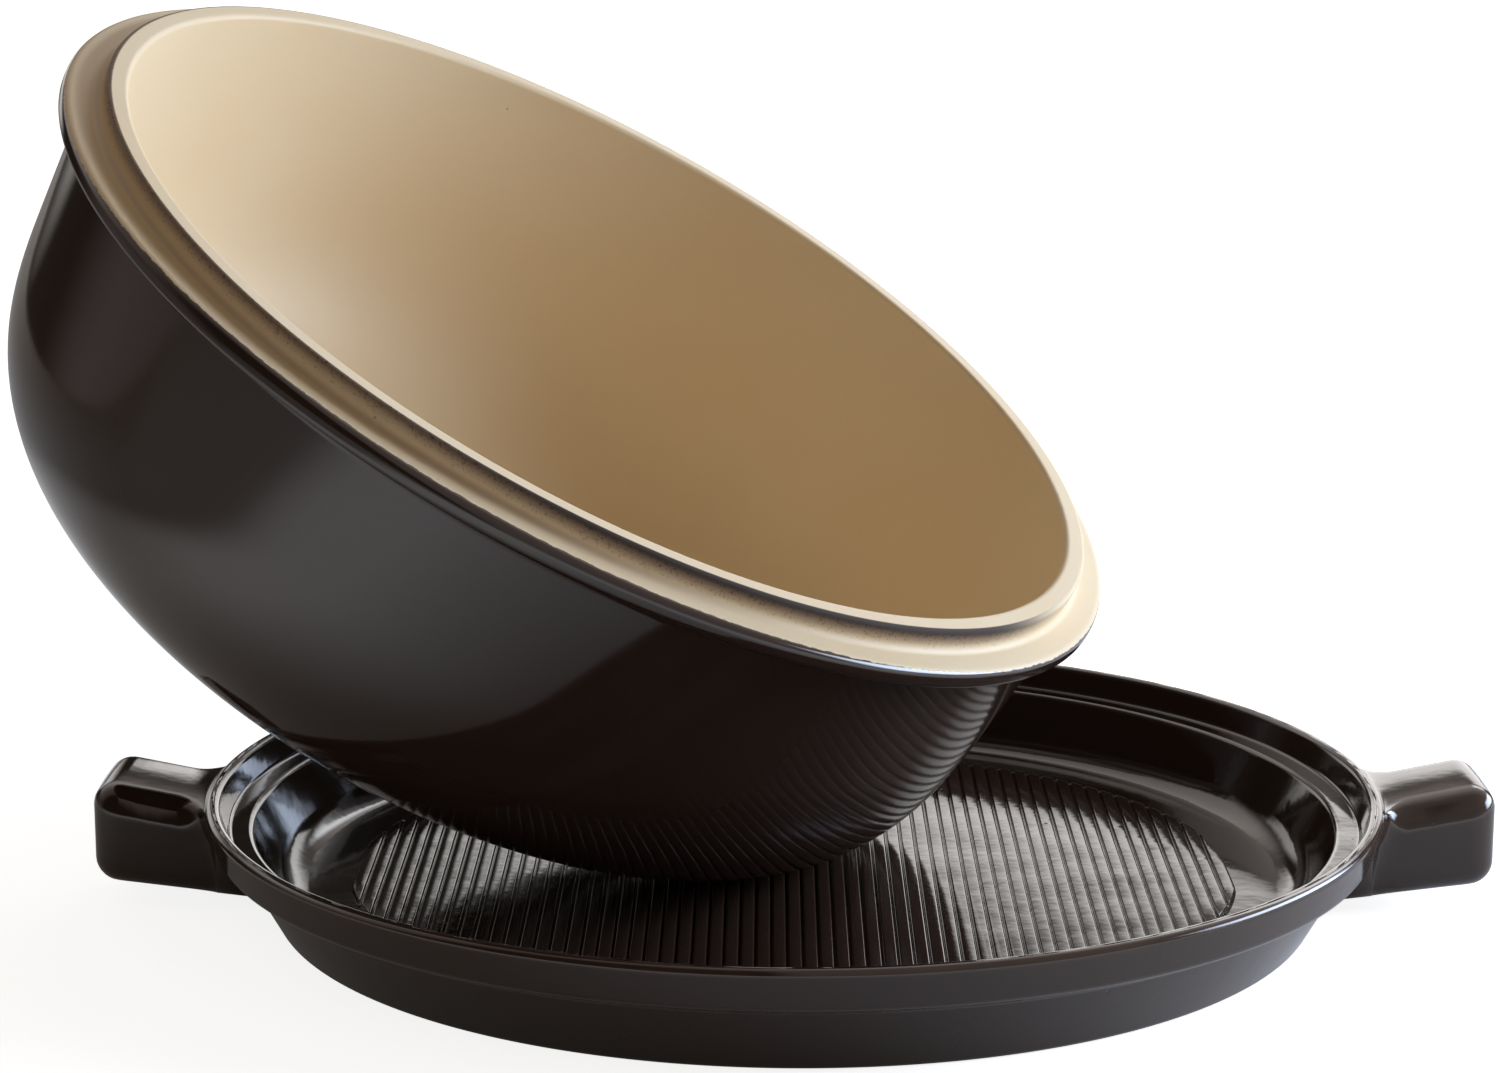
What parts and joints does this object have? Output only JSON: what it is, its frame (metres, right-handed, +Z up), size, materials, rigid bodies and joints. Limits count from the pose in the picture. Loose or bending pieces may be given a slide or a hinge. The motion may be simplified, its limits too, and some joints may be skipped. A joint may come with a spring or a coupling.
{
  "type": "bread cloche",
  "caption": "Round glazed ceramic bread cloche: ribbed base with seat ledge and tab handles, and a deep lipped dome resting in it tipped over, mouth up.",
  "frame": {"origin": "centre of the base's flat underside", "axes": "+Z up; X runs through both handles, with the tipped dome's high side towards -X; the front is -Y"},
  "size_m": [0.3588, 0.3075, 0.2103],
  "materials": {
    "base_glaze": "gloss, very dark brown",
    "dome_glaze": "gloss very dark brown outside, satin cream inside and on the lip"
  },
  "bodies": {
    "base": {"base": "base_glaze"},
    "dome": {"dome": "dome_glaze"}
  },
  "joints": [
    {"name": "dome_lift", "type": "slide", "parent": "base", "child": "dome", "axis": [0, 0, 1], "range_m": [0, 0.25]}
  ]
}
